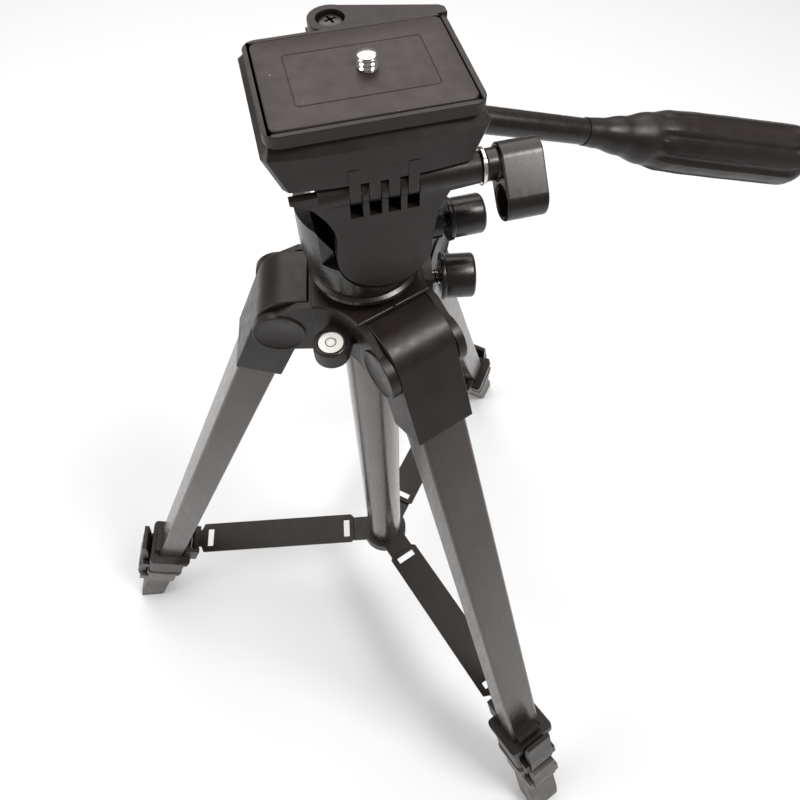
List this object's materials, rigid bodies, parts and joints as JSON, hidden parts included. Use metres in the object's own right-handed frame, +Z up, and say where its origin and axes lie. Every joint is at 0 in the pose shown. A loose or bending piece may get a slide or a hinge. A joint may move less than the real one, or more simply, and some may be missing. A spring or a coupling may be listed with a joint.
{
  "type": "camera tripod with pan-and-tilt head",
  "caption": "Floor or table tripod with splayed telescopic legs, a sliding brace hub, a centre column and a pan-and-tilt head that carries a quick-release camera plate.",
  "frame": {"origin": "on the floor, on the centre column's axis", "axes": "+Z up along the column; +X along the camera plate's long side, towards the pan handle"},
  "size_m": [0.4091, 0.3903, 0.4825],
  "materials": {
    "black_plastic": "fine-grained satin",
    "gloss_black": "semi-gloss",
    "gunmetal": "satin anodised gunmetal",
    "strap_metal": "satin painted",
    "steel": "bright",
    "dark_steel": "brushed",
    "rubber_pad": "matt",
    "foot_rubber": "matt",
    "vial_white": "clear over white"
  },
  "bodies": {
    "shoulder": {"shoulder": "black_plastic", "shoulder_pins": "dark_steel", "column_sleeve": "gunmetal", "sleeve_cap": "foot_rubber", "level_housing": "black_plastic", "level_vial": "vial_white"},
    "column": {"centre_column": "gunmetal", "column_table": "gloss_black"},
    "pan_base": {"pan_base": "gloss_black", "tilt_axle": "dark_steel"},
    "pan_knob": {"pan_knob": "gloss_black", "pan_knob_screw": "steel"},
    "tilt_block": {"tilt_block": "black_plastic"},
    "handle": {"handle_rod": "gunmetal", "handle_grip": "black_plastic"},
    "platform": {"platform": "black_plastic", "latch_screw": "dark_steel"},
    "latch_lever": {"latch_lever": "black_plastic"},
    "quick_plate": {"quick_plate": "black_plastic", "plate_pad": "rubber_pad"},
    "camera_screw": {"camera_screw": "steel"},
    "flip_knob": {"flip_knob": "gloss_black", "flip_bolt": "steel", "flip_washer": "steel"},
    "column_knob": {"column_knob": "gloss_black", "column_knob_screw": "steel"},
    "hub": {"brace_hub": "black_plastic"},
    "left_leg": {"left_socket": "black_plastic", "left_top_tube": "gunmetal", "left_upper_clamp": "black_plastic"},
    "left_upper_lever": {"left_upper_lever": "black_plastic"},
    "left_mid_leg": {"left_mid_tube": "gunmetal", "left_lower_clamp": "foot_rubber"},
    "left_lower_lever": {"left_lower_lever": "foot_rubber"},
    "left_low_leg": {"left_low_tube": "gunmetal", "left_foot": "foot_rubber"},
    "left_brace": {"left_brace": "strap_metal"},
    "front_leg": {"front_socket": "black_plastic", "front_top_tube": "gunmetal", "front_upper_clamp": "black_plastic"},
    "front_upper_lever": {"front_upper_lever": "black_plastic"},
    "front_mid_leg": {"front_mid_tube": "gunmetal", "front_lower_clamp": "foot_rubber"},
    "front_lower_lever": {"front_lower_lever": "foot_rubber"},
    "front_low_leg": {"front_low_tube": "gunmetal", "front_foot": "foot_rubber"},
    "front_brace": {"front_brace": "strap_metal"},
    "rear_leg": {"rear_socket": "black_plastic", "rear_top_tube": "gunmetal", "rear_upper_clamp": "black_plastic"},
    "rear_upper_lever": {"rear_upper_lever": "black_plastic"},
    "rear_mid_leg": {"rear_mid_tube": "gunmetal", "rear_lower_clamp": "foot_rubber"},
    "rear_lower_lever": {"rear_lower_lever": "foot_rubber"},
    "rear_low_leg": {"rear_low_tube": "gunmetal", "rear_foot": "foot_rubber"},
    "rear_brace": {"rear_brace": "strap_metal"}
  },
  "joints": [
    {"name": "column_lift", "type": "slide", "parent": "shoulder", "child": "column", "axis": [0, 0, 1], "range_m": [0, 0.2]},
    {"name": "head_pan", "type": "hinge", "parent": "column", "child": "pan_base", "pos_m": [0, 0, 0.402], "axis": [0, 0, 1], "continuous": true},
    {"name": "head_tilt", "type": "hinge", "parent": "pan_base", "child": "tilt_block", "pos_m": [0.0043, 0, 0.4278], "axis": [0, 1, 0], "range_deg": [-25, 20]},
    {"name": "handle_twist", "type": "hinge", "parent": "tilt_block", "child": "handle", "pos_m": [0.0375, 0.01, 0.4524], "axis": [0.9548, 0, -0.2974], "continuous": true},
    {"name": "platform_flip", "type": "hinge", "parent": "tilt_block", "child": "platform", "pos_m": [0.00415, -0.0155, 0.4532], "axis": [1, 0, 0], "range_deg": [0, 90]},
    {"name": "latch_swing", "type": "hinge", "parent": "platform", "child": "latch_lever", "pos_m": [0.0013, 0.0356, 0.4764], "axis": [0, 0, 1], "range_deg": [0, 60], "stiffness_Nm_per_rad": 0.05},
    {"name": "plate_lift", "type": "slide", "parent": "platform", "child": "quick_plate", "axis": [0, 0, 1], "range_m": [0, 0.03]},
    {"name": "camera_screw_turn", "type": "hinge", "parent": "quick_plate", "child": "camera_screw", "pos_m": [0.0063, 0.0048, 0.478], "axis": [0, 0, 1], "continuous": true},
    {"name": "flip_knob_turn", "type": "hinge", "parent": "tilt_block", "child": "flip_knob", "pos_m": [0.0355, -0.0155, 0.4532], "axis": [1, 0, 0], "continuous": true},
    {"name": "pan_knob_turn", "type": "hinge", "parent": "pan_base", "child": "pan_knob", "pos_m": [0.0315, 0, 0.418], "axis": [1, 0, 0], "continuous": true},
    {"name": "column_knob_turn", "type": "hinge", "parent": "shoulder", "child": "column_knob", "pos_m": [0.0289, -0.00538, 0.3934], "axis": [0.9831, -0.1831, 0], "continuous": true},
    {"name": "left_leg_fold", "type": "hinge", "parent": "shoulder", "child": "left_leg", "pos_m": [-0.03435, 0.0064, 0.384], "axis": [-0.1831, -0.9831, 0], "range_deg": [0, 9]},
    {"name": "left_brace_fold", "type": "hinge", "parent": "left_leg", "child": "left_brace", "pos_m": [-0.14353, 0.02673, 0.106], "axis": [-0.1831, -0.9831, 0], "range_deg": [0, 43]},
    {"name": "left_upper_lever_flip", "type": "hinge", "parent": "left_leg", "child": "left_upper_lever", "pos_m": [-0.18572, 0.03459, 0.08943], "axis": [-0.1831, -0.9831, 0], "range_deg": [0, 100]},
    {"name": "left_mid_slide", "type": "slide", "parent": "left_leg", "child": "left_mid_leg", "axis": [-0.4127, 0.0769, -0.9076], "range_m": [0, 0.25]},
    {"name": "left_lower_lever_flip", "type": "hinge", "parent": "left_mid_leg", "child": "left_lower_lever", "pos_m": [-0.19759, 0.0368, 0.05975], "axis": [-0.1831, -0.9831, 0], "range_deg": [0, 100]},
    {"name": "left_low_slide", "type": "slide", "parent": "left_mid_leg", "child": "left_low_leg", "axis": [-0.4127, 0.0769, -0.9076], "range_m": [0, 0.25]},
    {"name": "front_leg_fold", "type": "hinge", "parent": "shoulder", "child": "front_leg", "pos_m": [0.01163, -0.03295, 0.384], "axis": [0.9429, 0.333, 0], "range_deg": [0, 9]},
    {"name": "front_brace_fold", "type": "hinge", "parent": "front_leg", "child": "front_brace", "pos_m": [0.04862, -0.13767, 0.106], "axis": [0.9429, 0.333, 0], "range_deg": [0, 43]},
    {"name": "front_upper_lever_flip", "type": "hinge", "parent": "front_leg", "child": "front_upper_lever", "pos_m": [0.06291, -0.17813, 0.08943], "axis": [0.9429, 0.333, 0], "range_deg": [0, 100]},
    {"name": "front_mid_slide", "type": "slide", "parent": "front_leg", "child": "front_mid_leg", "axis": [0.1398, -0.3958, -0.9076], "range_m": [0, 0.25]},
    {"name": "front_lower_lever_flip", "type": "hinge", "parent": "front_mid_leg", "child": "front_lower_lever", "pos_m": [0.06693, -0.18952, 0.05975], "axis": [0.9429, 0.333, 0], "range_deg": [0, 100]},
    {"name": "front_low_slide", "type": "slide", "parent": "front_mid_leg", "child": "front_low_leg", "axis": [0.1398, -0.3958, -0.9076], "range_m": [0, 0.25]},
    {"name": "rear_leg_fold", "type": "hinge", "parent": "shoulder", "child": "rear_leg", "pos_m": [0.02271, 0.02655, 0.384], "axis": [-0.7598, 0.6501, 0], "range_deg": [0, 9]},
    {"name": "rear_brace_fold", "type": "hinge", "parent": "rear_leg", "child": "rear_brace", "pos_m": [0.09492, 0.11094, 0.106], "axis": [-0.7598, 0.6501, 0], "range_deg": [0, 43]},
    {"name": "rear_upper_lever_flip", "type": "hinge", "parent": "rear_leg", "child": "rear_upper_lever", "pos_m": [0.12282, 0.14355, 0.08943], "axis": [-0.7598, 0.6501, 0], "range_deg": [0, 100]},
    {"name": "rear_mid_slide", "type": "slide", "parent": "rear_leg", "child": "rear_mid_leg", "axis": [0.2729, 0.319, -0.9076], "range_m": [0, 0.25]},
    {"name": "rear_lower_lever_flip", "type": "hinge", "parent": "rear_mid_leg", "child": "rear_lower_lever", "pos_m": [0.13066, 0.15272, 0.05975], "axis": [-0.7598, 0.6501, 0], "range_deg": [0, 100]},
    {"name": "rear_low_slide", "type": "slide", "parent": "rear_mid_leg", "child": "rear_low_leg", "axis": [0.2729, 0.319, -0.9076], "range_m": [0, 0.25]},
    {"name": "hub_slide", "type": "slide", "parent": "shoulder", "child": "hub", "axis": [0, 0, 1], "range_m": [0, 0.079]}
  ],
  "couplings": [
    {"joint": "front_leg_fold", "follows": "left_leg_fold", "ratio": 1},
    {"joint": "rear_leg_fold", "follows": "left_leg_fold", "ratio": 1},
    {"joint": "left_brace_fold", "follows": "left_leg_fold", "ratio": 4.75},
    {"joint": "front_brace_fold", "follows": "left_leg_fold", "ratio": 4.75},
    {"joint": "rear_brace_fold", "follows": "left_leg_fold", "ratio": 4.75},
    {"joint": "hub_slide", "follows": "left_leg_fold", "m_per_rad": 0.5}
  ]
}
